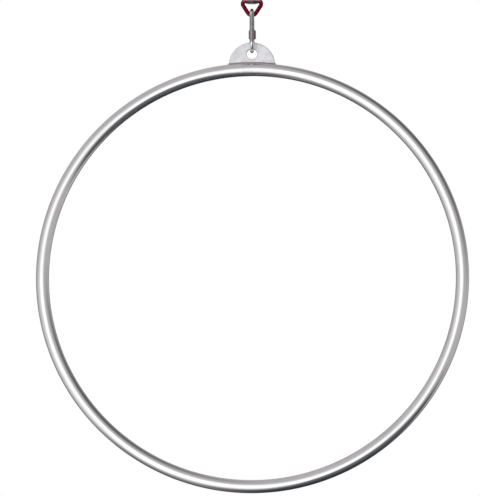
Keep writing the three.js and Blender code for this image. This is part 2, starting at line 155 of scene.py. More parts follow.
def soften(outline, radius, closed=False, steps=3):
    """The outline with its corners rounded, each by less than half a side. Ends stay sharp."""
    result = []
    count = len(outline)
    for k, here in enumerate(outline):
        here = Vector(here)
        if not closed and k in (0, count - 1):
            result.append(here)
            continue
        before = Vector(outline[k - 1]) - here
        after = Vector(outline[(k + 1) % count]) - here
        reach = min(radius, before.length / side_parts, after.length / side_parts)
        start = here + before.normalized() * reach
        end = here + after.normalized() * reach
        for t in span(0, 1, steps):
            result.append(start * (1 - t) ** 2 + here * (2 * t * (1 - t)) + end * t ** 2)
    return result


def turn(name, outline, place=(0, 0, 0), axis="Z", sides=turned_sides, closed=False, shape=None):
    """A lathe piece, upright or laid along X or Y. A shape changes its radius at each angle."""
    seat = Matrix.Translation(place) @ lay_along[axis]
    rings = []
    for radius, height in outline:
        spots = [(shape(radius, a, height) if shape else radius, a) for a in around(sides)]
        rings.append([seat @ Vector((r * cos(a), r * sin(a), height)) for r, a in spots])
    return ring_mesh(name, rings, closed=closed)


def pin_outline(radius, half_length):
    return [(0, -half_length), (radius, -half_length), (radius, half_length), (0, half_length)]


def rod(name, radius, half_length, place, axis, sides=pin_sides):
    return turn(name, pin_outline(radius, half_length), place, axis, sides)


# %% [markdown]
# Slots and holes are cut after the blank is made, as a mill would cut them. Blender's Boolean modifier
# does that. Its result is kept at once, so that the next cut starts from a finished mesh.

# %% Cut and join
square = [(-1, -1), (1, -1), (1, 1), (-1, 1)]


def keep_modifiers(piece):
    graph = bpy.context.evaluated_depsgraph_get()
    shaped = bpy.data.meshes.new_from_object(piece.evaluated_get(graph))
    piece.modifiers.clear()
    piece.data = shaped


def combine(piece, tool, operation="DIFFERENCE"):
    modifier = piece.modifiers.new("combine", "BOOLEAN")
    modifier.operation = operation
    modifier.solver = "EXACT"
    modifier.object = tool
    keep_modifiers(piece)
    bpy.data.objects.remove(tool)


def drill(piece, radius, half_length, place, axis):
    combine(piece, rod("drill", radius, half_length, place, axis))


def block(name, size, place):
    """A box that mills a slot."""
    half = Vector(size) / 2
    rings = []
    for z in (-1, 1):
        ring = [Vector((x * half.x, y * half.y, z * half.z)) + Vector(place) for x, y in square]
        rings.append(ring)
    return ring_mesh(name, rings, capped=True)


# %% [markdown]
# ## Finishes
#
# A finish is a shader with small differences in it: grain from drawing or grinding, cloudy patches
# from handling, brighter metal where an edge is rubbed. A few short helpers place the nodes, so that
# a finish reads as a recipe. Each of them finds the node tree through the sockets that it is given.

# %% Place nodes and wire them
def new_node(near, kind, **settings):
    """A node in the tree that a socket belongs to, or in a tree that is given itself."""
    node = near.id_data.nodes.new("ShaderNode" + kind)
    for label, value in settings.items():
        setattr(node, label, value)
    return node


def connect(value, socket):
    """Wires a socket to another one, or sets it to a plain value."""
    if isinstance(value, bpy.types.NodeSocket):
        socket.id_data.links.new(value, socket)
    else:
        socket.default_value = value


def connect_all(values, sockets):
    for value, socket in zip(values, sockets):
        connect(value, socket)


def fill(sockets, **values):
    """Sets or wires sockets by name. An underscore stands for a space."""
    for label, value in values.items():
        connect(value, sockets[label.replace("_", " ")])


# %% Sums, masks and colours
def maths(operation, *values):
    """One step of arithmetic, on values of which at least one is a socket."""
    near = next(value for value in values if isinstance(value, bpy.types.NodeSocket))
    node = new_node(near, "Math", operation=operation)
    connect_all(values, node.inputs)
    return node.outputs[0]


def vector_maths(operation, *vectors):
    node = new_node(vectors[0], "VectorMath", operation=operation)
    connect_all(vectors, node.inputs)
    return node.outputs


def times(first, second):
    return maths("MULTIPLY", first, second)


def add_all(start, *shares):
    """The start value plus each mask times its share."""
    total = start
    for mask, share in shares:
        total = maths("MULTIPLY_ADD", mask, share, total)
    return total


def distance(value, place):
    """How far a value lies from a place, to either side."""
    return maths("ABSOLUTE", maths("SUBTRACT", value, place))


def spread(value, low, high, to_low=0.0, to_high=1.0):
    """Maps low..high to to_low..to_high with a soft start and end."""
    node = new_node(value, "MapRange", interpolation_type="SMOOTHSTEP")
    fill(node.inputs, Value=value, From_Min=low, From_Max=high, To_Min=to_low, To_Max=to_high)
    return node.outputs["Result"]


def blend(share, first, second):
    """The first colour, mixed with the second one by a share."""
    node = new_node(share, "Mix", data_type="RGBA")
    connect_all((share, first, second), [node.inputs[number] for number in (0, 6, 7)])
    return node.outputs[2]


def noise_of(vector, scale, detail=2.0):
    node = new_node(vector, "TexNoise")
    fill(node.inputs, Vector=vector, Scale=scale, Detail=detail)
    return node.outputs["Fac"]


def axes_of(vector):
    node = new_node(vector, "SeparateXYZ")
    connect(vector, node.inputs[0])
    return node.outputs


def coordinates(near, kind):
    return new_node(near, "TexCoord").outputs[kind]


def bump(height, depth):
    node = new_node(height, "Bump")
    fill(node.inputs, Strength=1.0, Distance=depth, Height=height)
    return node.outputs["Normal"]


# %% [markdown]
# More than one material needs the same effects, so each of these is a node group with named inputs,
# made once. A change to a group then reaches every finish that uses it.

# %% Make and place groups
def new_group(name, inputs, outputs):
    """An empty node group that is given a vector, and its sockets as they are seen from inside."""
    tree = bpy.data.node_groups.new(name, "ShaderNodeTree")
    for label, kind, value in [("Vector", "Vector", (0, 0, 0)), *inputs]:
        socket = tree.interface.new_socket(label, in_out="INPUT", socket_type="NodeSocket" + kind)
        socket.default_value = value
    for label in outputs:
        tree.interface.new_socket(label, in_out="OUTPUT", socket_type="NodeSocketFloat")
    return tree, tree.nodes.new("NodeGroupInput").outputs, tree.nodes.new("NodeGroupOutput").inputs


def place_group(group, place, **values):
    """The outputs of a group that is laid over a surface."""
    node = new_node(place, "Group", node_tree=group)
    fill(node.inputs, Vector=place, **values)
    return node.outputs


# %% [markdown]
# Grain is noise pulled long in one direction, as drawing or grinding leaves it. Scale says how fine
# it is along each axis.

# %% Grain
grain_group, given, result = new_group("Grain", [("Scale", "Vector", (1, 1, 1))], ["Height", "Tone"])
lines = noise_of(vector_maths("MULTIPLY", given["Vector"], given["Scale"])[0], 1.0, detail=3.0)
fill(result, Height=lines, Tone=spread(lines, 0.3, 0.7))

# %% [markdown]
# Patches are broad soft clouds with finer ones inside, for handling marks and uneven plating. Fill
# says how much of the surface they cover.

# %% Patches
patch_inputs = [("Per Metre", "Float", 40.0), ("Fill", "Float", 0.5)]
finer = 4.7
patch_softness = 0.12
patch_group, given, result = new_group("Patches", patch_inputs, ["Mask"])
broad = noise_of(given["Vector"], given["Per Metre"], detail=4.0)
fine = noise_of(given["Vector"], times(given["Per Metre"], finer))
cloud = add_all(0.0, (broad, 0.7), (fine, 0.3))
edge = maths("SUBTRACT", 1.0, given["Fill"])
low_edge, high_edge = [maths(side, edge, patch_softness) for side in ("SUBTRACT", "ADD")]
fill(result, Mask=spread(cloud, low_edge, high_edge))

# %% [markdown]
# Pointiness is high on outward edges, where hands and metal rub the surface bright. A fine noise makes
# the rubbed line ragged. On the tab the same mask paints the rounded rim darker, as painted shade.

# %% Rubbed and shaded edges
ragged_scale = 900.0
ragged_share = 0.05
rub_inputs = [("From", "Float", 0.52), ("To", "Float", 0.58)]
edge_wear_and_shade_group, given, result = new_group("Rubbed and shaded edges", rub_inputs, ["Mask"])
pointiness = new_node(edge_wear_and_shade_group, "NewGeometry").outputs["Pointiness"]
ragged = maths("SUBTRACT", noise_of(given["Vector"], ragged_scale), 0.5)
uneven = add_all(pointiness, (ragged, ragged_share))
fill(result, Mask=spread(uneven, given["From"], given["To"]))
print("node groups:", ", ".join(sorted(group.name for group in bpy.data.node_groups)))

# %% [markdown]
# Every finish starts from the same short recipe: a Principled shader with its plain values set on its
# own sockets. Most have soft patches too. What varies over the surface is then wired in.

# %% A plain finish to start from
def new_finish(name, metallic, roughness, **plain):
    """A material with plain values, its node tree and its shader's sockets."""
    material = bpy.data.materials.new(name)
    material.use_nodes = True
    tree = material.node_tree
    sockets = tree.nodes["Principled BSDF"].inputs
    fill(sockets, Metallic=metallic, Roughness=roughness, **plain)
    return material, tree, sockets


def clouded_finish(name, metallic, roughness, per_metre, cover, **plain):
    """A finish with its shader's sockets, the place of its points and a mask of soft patches."""
    material, tree, sockets = new_finish(name, metallic, roughness, **plain)
    place = coordinates(tree, "Object")
    clouds = place_group(patch_group, place, Per_Metre=per_metre, Fill=cover)["Mask"]
    return material, sockets, place, clouds


# %% [markdown]
# ### Polished tube
#
# Stainless tube is drawn through a die and then polished along its length. It reflects clearly, with
# faint lines that run round the hoop. The tube's own map, in metres along and around, carries the
# grain, so it bends with the tube. Near the butt weld the surface was ground by hand, and is duller.

# %% Tube finish
tube_colour = (0.705, 0.698, 0.708, 1)
tube_worn_colour = (0.575, 0.57, 0.58, 1)
ground_colour = (0.6, 0.585, 0.59, 1)
ground_reach = 0.014
ground_full_share = 0.4
ground_full = ground_reach * ground_full_share
tube_grain = (14.0, 2600.0, 1.0)
polish_streaks = (6.0, 330.0, 1.0)
ground_grain = (1500.0, 60.0, 1.0)
tube_polish = 0.09
tube_relief = 0.00002

tube_finish, tree, sockets = new_finish("Polished tube", metallic=1.0, roughness=0.2)
place = new_node(tree, "UVMap", uv_map="metres").outputs["UV"]
grain = place_group(grain_group, place, Scale=tube_grain)
streaks = place_group(grain_group, place, Scale=polish_streaks)
ground = place_group(grain_group, place, Scale=ground_grain)
marks = place_group(patch_group, coordinates(tree, "Object"), Per_Metre=24.0, Fill=0.48)["Mask"]
along = axes_of(place)["X"]
to_seam = maths("MINIMUM", along, maths("SUBTRACT", hoop_length, along))
near_seam = spread(to_seam, ground_full, ground_reach, 1.0, 0.0)
dull = add_all(0.0, (times(marks, grain["Tone"]), 0.35), (streaks["Tone"], 0.75))
colour = blend(dull, tube_colour, tube_worn_colour)
fill(
    sockets,
    Base_Color=blend(times(near_seam, ground["Tone"]), colour, ground_colour),
    Roughness=add_all(tube_polish, (grain["Tone"], 0.05), (marks, 0.04), (near_seam, 0.08)),
    Normal=bump(add_all(grain["Height"], (times(ground["Height"], near_seam), 2.0)), tube_relief),
)

# %% [markdown]
# ### Galvanised plate
#
# The tab has a pale, slightly violet zinc coat. It is not a mirror: its crystals make soft cloudy
# patches. Its rounded rim is painted darker, as painted shade where the edge turns away from the
# light.

# %% Plate finish
plate_colour = (0.67, 0.662, 0.695, 1)
plate_cloud_colour = (0.585, 0.58, 0.61, 1)
plate_rim_shade_colour = (0.36, 0.35, 0.37, 1)
plate_roughness = 0.42
plate_relief = 0.00006
crystals_per_metre = 260.0

plate_finish, sockets, place, clouds = clouded_finish(
    "Galvanised plate", metallic=0.75, roughness=0.5, per_metre=90.0, cover=0.5
)
# This edge mask paints the tab's rounded rim darker: painted shade, not a change in the coat.
rim = place_group(edge_wear_and_shade_group, place)["Mask"]
grain = place_group(grain_group, place, Scale=(60.0, 900.0, 900.0))["Height"]
crystals = new_node(place, "TexVoronoi")
fill(crystals.inputs, Vector=place, Scale=crystals_per_metre)
crystal_tone = spread(crystals.outputs["Color"], 0.2, 0.9)
share = add_all(0.0, (clouds, 0.6), (crystal_tone, 0.25))
fill(
    sockets,
    Base_Color=blend(rim, blend(share, plate_colour, plate_cloud_colour), plate_rim_shade_colour),
    Roughness=add_all(plate_roughness, (clouds, 0.12), (rim, -0.12)),
    Normal=bump(add_all(grain, (clouds, 1.5)), plate_relief),
)

# %% [markdown]
# ### Weld bead
#
# A bead keeps the ripples of the melting pool, and its surface is greyer and rougher than the tube.
# Its colour is also darkened as painted shade for the crease where the tab meets the tube. The ripples
# themselves are in the mesh, and the shader adds only the fine scale.

# %% Weld finish
# Weld metal is greyer, and this colour is darker still: painted shade for the crease at the tab's
# foot.
weld_and_crease_shade_colour = (0.36, 0.35, 0.345, 1)
weld_bright_colour = (0.52, 0.51, 0.50, 1)
weld_roughness = 0.5
weld_grit = 2600.0
weld_relief = 0.00005

weld_finish, sockets, place, clouds = clouded_finish(
    "Weld bead", metallic=0.9, roughness=0.45, per_metre=350.0, cover=0.5
)
rubbed = place_group(edge_wear_and_shade_group, place, From=0.5, To=0.6)["Mask"]
share = maths("MAXIMUM", rubbed, times(clouds, 0.5))
fill(
    sockets,
    Base_Color=blend(share, weld_and_crease_shade_colour, weld_bright_colour),
    Roughness=add_all(weld_roughness, (share, -0.16)),
    Normal=bump(noise_of(place, weld_grit, 3.0), weld_relief),
)

# %% [markdown]
# ### Plated steel
#
# The carabiner is zinc plated bar. Its straight side is dark and dull, with fine scratches along it.
# The two bows are painted brighter, a painted highlight where the bends catch the light, so the finish
# is mixed by the distance from the middle of the carabiner. The pins and the bearing use the same
# recipe.

# %% Plated finish
plated_dull_colour = (0.27, 0.268, 0.268, 1)
plated_haze_colour = (0.16, 0.158, 0.158, 1)
bright_plate_and_bow_highlight_colour = (0.74, 0.76, 0.74, 1)
plated_soft_colour = (0.42, 0.425, 0.42, 1)
plated_edge_colour = (0.8, 0.8, 0.795, 1)
ground_steel_colour = (0.62, 0.625, 0.63, 1)
ground_haze_colour = (0.5, 0.505, 0.51, 1)
bar_low, bar_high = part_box("carabiner_body")
bar_middle_z = (bar_low.z + bar_high.z) / 2
bow_highlight_start = 0.019
bow_highlight_full = 0.029
haze_shift = -0.003
scratch_scale = (1400.0, 1900.0, 160.0)
scratch_relief = 0.000012


def plated(name, roughness, base_colour, haze_colour, painted_bow_highlight=False):
    material, sockets, place, haze = clouded_finish(
        name, metallic=1.0, roughness=roughness, per_metre=160.0, cover=0.45
    )
    scratches = place_group(grain_group, place, Scale=scratch_scale)
    edges = place_group(edge_wear_and_shade_group, place)["Mask"]
    share = times(haze, add_all(0.3, (scratches["Tone"], 0.5)))
    colour = blend(share, base_colour, haze_colour)
    if painted_bow_highlight:
        # The bows get the bright colour by their distance from the middle: a painted highlight where
        # the bends catch the light.
        uneven = add_all(distance(axes_of(place)["Z"], bar_middle_z), (haze, haze_shift))
        colour = blend(spread(uneven, bow_highlight_start, bow_highlight_full), colour, bright_plate_and_bow_highlight_colour)
    fill(
        sockets,
        Base_Color=blend(edges, colour, plated_edge_colour),
        Roughness=add_all(roughness, (share, 0.14)),
        Normal=bump(scratches["Height"], scratch_relief),
    )
    return material


carabiner_finish = plated("Zinc plate with painted bow highlight", 0.13, plated_dull_colour, plated_haze_colour, True)
fastener_finish = plated("Bright zinc plate", 0.18, bright_plate_and_bow_highlight_colour, plated_soft_colour)
bearing_finish = plated("Ground bearing steel", 0.1, ground_steel_colour, ground_haze_colour)

# %% [markdown]
# ### Crimson anodising
#
# Anodised aluminium keeps the sheen of the metal under a clear dyed layer. The dye is deep on flat
# parts and wears through to paler metal on the edges. Round the housings' outer rim the same pale
# colour, with less metal sheen, is a painted highlight. The housings are joined to the legs of the
# eyes, so that rim is found by its place and not by its edge. The sleeve is handled most, so it has
# faded.

# %% The rim of a housing
housing_height = 0.0143
eye_bar = 0.0039
rim_set_in = 0.0005
rim_depth = housing_height - rim_set_in
rim_half_width = 0.0008
rim_fade = 0.0006
rim_inside = 0.0154
rim_blend = 0.001
leg_blend = 0.0015
middle_blend = 0.002
ragged_rim_scale = 700.0
rim_highlight_break_scale = 190.0
least_rim_highlight = 0.35


def painted_rim_highlight(place):
    """The outer edge of a housing, where a painted highlight goes: near its height from the split, far
    from the axis, off the legs.
    """
    axes = axes_of(place)
    off_rim = distance(distance(axes["Z"], split_z), rim_depth)
    ragged = add_all(off_rim, (noise_of(place, ragged_rim_scale), rim_fade))
    at_height = spread(ragged, rim_half_width, rim_half_width + rim_fade, 1.0, 0.0)
    from_axis = maths("SQRT", maths("ADD", *[times(axes[name], axes[name]) for name in "XY"]))
    at_rim = times(at_height, spread(from_axis, rim_inside, rim_inside + rim_blend))
    off_leg = spread(maths("ABSOLUTE", axes["Y"]), eye_bar, eye_bar + leg_blend)
    middle_end = rim_inside - rim_blend
    from_middle = maths("ABSOLUTE", axes["X"])
    off_middle = spread(from_middle, middle_end - middle_blend, middle_end, 1.0, 0.0)
    # A broad noise breaks the painted highlight into uneven lengths along the rim.
    rubbed = spread(noise_of(place, rim_highlight_break_scale), 0.3, 0.5, least_rim_highlight, 1.0)
    return times(times(at_rim, rubbed), maths("MAXIMUM", off_leg, off_middle))


# %% Anodised finishes
anodised_metallic = 0.93
anodised_relief = 0.000015
machined_scale = (300.0, 300.0, 2600.0)
eye_dye = ((0.155, 0.002, 0.02, 1), (0.085, 0.001, 0.011, 1), (0.8, 0.34, 0.41, 1))
sleeve_dye = ((0.2, 0.1, 0.125, 1), (0.14, 0.06, 0.08, 1), (0.4, 0.27, 0.3, 1))


def anodised(name, roughness, dye, housing=False):
    """A dye is three colours: plain, deep, and a pale one that edges wear through to, which also
    paints the housings' rim highlight.
    """
    material, sockets, place, clouds = clouded_finish(
        name, metallic=anodised_metallic, roughness=roughness, per_metre=120.0, cover=0.5
    )
    edges = place_group(edge_wear_and_shade_group, place, From=0.53, To=0.62)["Mask"]
    machined = place_group(grain_group, place, Scale=machined_scale)
    plain_dye, deep_dye, pale_wear_and_highlight_dye = dye
    wear_and_rim_highlight = times(edges, 0.75)
    if housing:
        # The housing's rim band is a painted highlight: the pale dye, with less metal sheen.
        rim = painted_rim_highlight(place)
        wear_and_rim_highlight = maths("MAXIMUM", wear_and_rim_highlight, rim)
        fill(sockets, Metallic=add_all(anodised_metallic, (rim, -0.75)))
    rough_shares = ((machined["Tone"], 0.06), (wear_and_rim_highlight, 0.15), (clouds, 0.06))
    fill(
        sockets,
        Base_Color=blend(wear_and_rim_highlight, blend(times(clouds, 0.7), plain_dye, deep_dye), pale_wear_and_highlight_dye),
        Roughness=add_all(roughness - 0.05, *rough_shares),
        Normal=bump(machined["Height"], anodised_relief),
    )
    return material


eye_finish = anodised("Crimson anodising", 0.3, eye_dye, housing=True)
sleeve_finish = anodised("Faded maroon anodising", 0.36, sleeve_dye)

# %% [markdown]
# ### Black cap and rubber
#
# The cap is glossy under a hard clear coat, and picks up a little grey dust. The seal is the same
# black, only duller and bare.

# %% Black finishes
black_colour = (0.007, 0.005, 0.005, 1)
dust_colour = (0.07, 0.062, 0.058, 1)
black_grit = 4200.0
black_relief = 0.00003
clear_coat = {"Coat_Weight": 1.0, "Coat_Roughness": 0.08, "Coat_IOR": 1.8}


def black(name, roughness, dust, **coat):
    material, sockets, place, clouds = clouded_finish(
        name, metallic=0.0, roughness=roughness, per_metre=180.0, cover=0.45, **coat
    )
    fill(
        sockets,
        Base_Color=blend(times(clouds, dust), black_colour, dust_colour),
        Roughness=add_all(roughness, (clouds, 0.12)),
        Normal=bump(noise_of(place, black_grit), black_relief),
    )
    return material


cap_finish = black("Coated black", roughness=0.32, dust=0.18, **clear_coat)
rubber_finish = black("Seal rubber", roughness=0.62, dust=0.6)

# %% [markdown]
# ### Turned bronze
#
# The cage and the bush are bearing bronze. It is turned, so its grain lies in rings, and it browns in
# patches.

# %% Bronze finish
bronze_colour = (0.62, 0.42, 0.18, 1)
bronze_brown_colour = (0.42, 0.26, 0.11, 1)
turned_scale = (200.0, 200.0, 4000.0)
bronze_roughness = 0.24
bronze_relief = 0.00002

bronze_finish, sockets, place, clouds = clouded_finish(
    "Turned bronze", metallic=1.0, roughness=0.3, per_metre=250.0, cover=0.5
)
turned = place_group(grain_group, place, Scale=turned_scale)
fill(
    sockets,
    Base_Color=blend(clouds, bronze_colour, bronze_brown_colour),
    Roughness=add_all(bronze_roughness, (turned["Tone"], 0.14)),
    Normal=bump(turned["Height"], bronze_relief),
)
print("finishes:", ", ".join(material.name for material in bpy.data.materials))

# %% [markdown]
# One call then dresses a mesh: it gives the finish, tells which body the piece moves with, and which
# plain solid of the frame it stands for.

# %% Dress a piece
smooth_angle = radians(38)


def dress(piece, finish, body, slot, *nodes):
    piece.data.materials.clear()
    piece.data.materials.append(finish)
    piece.data.shade_smooth()
    piece.data.set_sharp_from_angle(angle=smooth_angle)
    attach(piece, body)
    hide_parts(*nodes)
    print(f"{piece.name}: {len(piece.data.vertices)} points")


# %% [markdown]
# ## The hoop
#
# The tube is bent on rollers to a full circle and its ends are butt welded. It could be a torus from
# the menu, but that has no weld, no bore and no map in metres. So rings of points are walked round
# from one end of the tube to the other, and back again inside the bore.

# %% Bend the tube
tube_wall = 0.002
tube_sides = 48
tube_steps = 400
seam_low, seam_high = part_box("seam_weld")
seam_angle = asin((seam_low.x + seam_high.x) / 2 / centreline_radius)
seam_half_angle = (seam_high.x - seam_low.x) / 2 / centreline_radius
seam_end = seam_angle + seam_half_angle
seam_start = seam_angle - seam_half_angle


def circle(centre, side, radius, sides):
    """A ring of points across a path that lies in the plane of X and Z."""
    y_axis = Vector((0, 1, 0))
    return [centre + (side * cos(a) + y_axis * sin(a)) * radius for a in around(sides)]


def tube_ring(angle, radius):
    outward = Vector((sin(angle), 0, cos(angle)))
    return circle(hoop_centre + outward * centreline_radius, outward, radius, tube_sides)


def bent_tube(name, start, end, steps, radius):
    angles = span(start, end, steps)
    outer = [tube_ring(angle, radius) for angle in angles]
    bore = [tube_ring(angle, tube_radius - tube_wall) for angle in reversed(angles)]

    def in_metres(i, j):
        step = i if i <= steps else 2 * steps + 1 - i
        arc = (angles[max(step, 0)] - start) * centreline_radius
        return arc, j / tube_sides * tau * tube_radius

    return ring_mesh(name, outer + bore, closed=True, uv=in_metres)


hoop_tube = bent_tube("polished_hoop_tube", seam_end, seam_start + tau, tube_steps, tube_radius)
dress(hoop_tube, tube_finish, "hoop", "polished_steel", "hoop_tube")

# %% [markdown]
# The butt weld has been ground flush, so it shows only as a narrow, duller band. It is its own ring
# between the two ends of the tube, a hair prouder than the tube, as grinding leaves it.

# %% Close the ring with its weld
seam_proud = 0.00004
seam_steps = 6
proud_radius = tube_radius + seam_proud
seam_weld = bent_tube("ground_seam_weld", seam_start, seam_end, seam_steps, proud_radius)
dress(seam_weld, tube_finish, "hoop", "weld_metal", "seam_weld")

# %% [markdown]
# ## The tab
#
# The tab is a half disc of 8 mm plate with one hole. Its foot is hollowed to sit on the tube. Rays
# from the middle of the hole reach every part of its rim, so the mesh is a fan of rays: along each
# ray the surface goes from the hole over the front, round the rim and back over the rear.

# %% Outline of the tab
tab_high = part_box("tab_plate")[1]
tab_half = tab_high.y
tab_radius = tab_high.x
tab_centre_z = tab_high.z - tab_radius
hole_radius = 0.0098
hole_drop = 0.0051
hole_z = joint_place["hoop_swing"].z - hole_drop
hole_flare = 0.0008
tab_edge = 0.0015
tab_rays = 160
foot_gap = 0.00005


def tube_reach(y):
    """From the hoop's centre to the outside of its tube, in the plane at this y."""
    return centreline_radius + sqrt(tube_radius ** 2 - y ** 2)


def tube_top(x, y):
    """Height of the hoop's surface above a point of the plan."""
    return hoop_centre.z + sqrt(tube_reach(y) ** 2 - x ** 2)


def ray_length(direction, inset, y):
    """How far a ray from the hole's centre runs to the rim, or to the tube if that is nearer."""
    lift = hole_z - tab_centre_z
    across = direction.y * lift
    rim = -across + sqrt(across ** 2 - lift ** 2 + (tab_radius - inset) ** 2)
    lift = hole_z - hoop_centre.z
    across = direction.y * lift
    inside = across ** 2 - lift ** 2 + (tube_reach(y) + foot_gap) ** 2
    if direction.y < 0 and inside > 0:
        return min(rim, -across - sqrt(inside))
    return rim


# %% Build the tab
def rounded_edge(radius, steps):
    """Steps over a rounded edge: how far is left across it, and how far it has run along."""
    return [(radius * (1 - sin(a)), radius * (1 - cos(a))) for a in quarter(steps)]


def tab_ring(y, inset=None, radius=None, share=None):
    """One ring of the fan: round the hole, along the rim, or a share of the way between."""
    points = []
    for ray in around(tab_rays):
        angle = ray - pi / 2
        direction = Vector((cos(angle), sin(angle)))
        near = radius
        if inset is not None:
            far = ray_length(direction, inset, y)
            near = far if share is None else radius + (far - radius) * share
        points.append(Vector((direction.x * near, y, hole_z + direction.y * near)))
    return points


face_shares = (0.1, 0.3, 0.5, 0.7, 0.85, 0.95)
round_steps = 4
half_rings = []
for left, run in rounded_edge(hole_flare, round_steps):
    half_rings.append((tab_half - left, {"radius": hole_radius + run}))
for share in face_shares:
    face_ring = {"radius": hole_radius + hole_flare, "inset": tab_edge, "share": share}
    half_rings.append((tab_half, face_ring))
for left, run in rounded_edge(tab_edge, round_steps):
    half_rings.append((tab_half - run, {"inset": left}))
front = [tab_ring(-y, **shape) for y, shape in half_rings]
back = [tab_ring(y, **shape) for y, shape in reversed(half_rings)]
tab_plate = ring_mesh("half_disc_tab", front + back, closed=True)
dress(tab_plate, plate_finish, "hoop", "zinc_plate", "tab_plate")

# %% [markdown]
# ## The fillet weld
#
# A bead runs along both faces of the tab and round its ends. It is swept along that path: each
# section starts on the plate, is a little hollow and ends on the tube. Its size swells and shrinks
# with each ripple of the weld pool, and a seeded random walk keeps it from looking stamped.

# %% Path of the bead
bead_clear = 0.00003
bead_corner = 0.0012
bead_spacing = 0.0004
corner_steps = 6
foot_half = max(point.x for point in front[-1])


def bead_path():
    """Points and outward directions round the foot of the tab, seen from above."""
    half_x = foot_half + bead_clear
    half_y = tab_half + bead_clear
    path = []
    for sign_x, sign_y, start in ((1, -1, -90), (1, 1, 0), (-1, 1, 90), (-1, -1, 180)):
        centre = Vector((sign_x * (half_x - bead_corner), sign_y * (half_y - bead_corner)))
        for degrees in span(start, start + 90, corner_steps):
            angle = radians(degrees)
            normal = Vector((cos(angle), sin(angle)))
            path.append((centre + normal * bead_corner, normal))
    dense = []
    for (here, normal), (there, next_normal) in zip(path, path[1:] + path[:1]):
        steps = max(1, round((there - here).length / bead_spacing))
        for t in span(0, 1, steps)[:-1]:
            dense.append((here.lerp(there, t), normal.lerp(next_normal, t).normalized()))
    return dense


# %% Lay the bead
bead_leg = 0.0021
bead_hollow = 0.32
bead_steps = 6
ripple_length = 0.0017
ripple_swell = 0.09
ripple_power = 0.7
wander_step = 0.02
wander_keep = 0.97
bead_rng = random.Random(7)

bead_rings = []
walked = 0.0
wander = 0.0
last = None
for here, normal in bead_path():
    walked += (here - last).length if last else 0.0
    last = here
    wander = wander * wander_keep + bead_rng.uniform(-wander_step, wander_step)
    phase = walked / ripple_length % 1.0
    leg = bead_leg * (1 + wander + ripple_swell * sin(pi * phase) ** ripple_power)
    section = [(0.0, 0.0)]
    for angle in quarter(bead_steps):
        reach = leg * (1 - bead_hollow * sin(2 * angle))
        section.append((sin(angle) * reach + bead_clear, cos(angle) * reach + bead_clear))
    ring = []
    for away, up in section:
        spot = here + normal * away
        ring.append(Vector((spot.x, spot.y, tube_top(spot.x, spot.y) + up)))
    bead_rings.append(ring)
tab_weld = ring_mesh("tab_fillet_bead", bead_rings, closed=True)
dress(tab_weld, weld_finish, "hoop", "weld_metal", "tab_weld")

# %% [markdown]
# ## The carabiner's body
#
# One piece of round bar is bent into an oval that stays open on one side, where the gate goes. Each
# end of the bar is milled down to a thin tang: one carries the gate's rivet and the other hooks round
# the gate's pin. The bar and its tangs are one sweep, whose section changes from round to flat.

# %% Path of the bar
gate_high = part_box("gate_barrel")[1]
stock_radius = bar_high.x
bend_radius = hinge.y
low_bend_z = bar_low.z + stock_radius + bend_radius
high_bend_z = bar_high.z - stock_radius - bend_radius
nose_gap = 0.0005
nose_z = gate_high.z + nose_gap
hinge_angle = asin((low_bend_z - hinge.z) / bend_radius)
hinge_blade_length = 0.0058
stock_start = hinge_angle + hinge_blade_length / bend_radius
tang_half = 0.0015
hinge_eye_radius = 0.0039
hinge_blade_half = 0.0034
latch_blade_half = 0.0032
latch_length = 0.0066
edge_radius = 0.0005
bar_sides = 48
flat_power = 0.25
least_half = 0.0002
down = Vector((0, 0, -1))


def on_low_bend(angle):
    """Place and direction on the lower bend, at an angle below the level of its centre."""
    place = Vector((0, bend_radius * cos(angle), low_bend_z - bend_radius * sin(angle)))
    return place, Vector((0, -sin(angle), -cos(angle)))


def bar_section(place, direction, wide, deep, power):
    """A ring across the bar. Power 1 gives an ellipse, and less a rounded rectangle."""
    inward = Vector((1, 0, 0)).cross(direction)
    ring = []
    for k in range(bar_sides):
        angle = tau * (k + 0.5) / bar_sides
        c = cos(angle)
        s = sin(angle)
        x = copysign(abs(c) ** power, c) * wide
        y = copysign(abs(s) ** power, s) * deep
        ring.append(place + Vector((x, 0, 0)) + inward * y)
    return ring


def round_section(place, direction, inset=0.0):
    return bar_section(place, direction, stock_radius - inset, stock_radius - inset, 1.0)


def flat_section(place, direction, deep, wide=tang_half):
    return bar_section(place, direction, wide, deep, flat_power)


# %% Sweep the bar
eye_steps = 8
tang_steps = 4
edge_steps = 3
bend_steps = 72
spine_steps = 8

bar_rings = []
for angle in quarter(eye_steps)[1:]:
    place = Vector((0, bend_radius, hinge.z + hinge_eye_radius * cos(angle)))
    bar_rings.append(flat_section(place, down, max(hinge_eye_radius * sin(angle), least_half)))
tang_angles = span(hinge_angle, stock_start, tang_steps)[1:]
tang_halves = span(hinge_eye_radius, hinge_blade_half, tang_steps)[1:]
bar_rings += [flat_section(*on_low_bend(a), half) for a, half in zip(tang_angles, tang_halves)]
for left, run in rounded_edge(edge_radius, edge_steps):
    bar_rings.append(round_section(*on_low_bend(stock_start + run / bend_radius), left))
bend_start = stock_start + edge_radius / bend_radius
low_bend = span(bend_start, pi, bend_steps)[1:]
bar_rings += [round_section(*on_low_bend(angle)) for angle in low_bend]
spine = span(low_bend_z, high_bend_z, spine_steps)[1:-1]
bar_rings += [round_section(Vector((0, -bend_radius, height)), -down) for height in spine]
for angle in span(pi, 0, bend_steps):
    place = Vector((0, bend_radius * cos(angle), high_bend_z + bend_radius * sin(angle)))
    bar_rings.append(round_section(place, Vector((0, sin(angle), -cos(angle)))))
for left, run in rounded_edge(edge_radius, edge_steps):
    bar_rings.append(round_section(Vector((0, bend_radius, nose_z + left)), down, run))
latch_rows = ((0.0, 0.0), (latch_length - edge_radius, 0.0), (latch_length, edge_radius / 2))
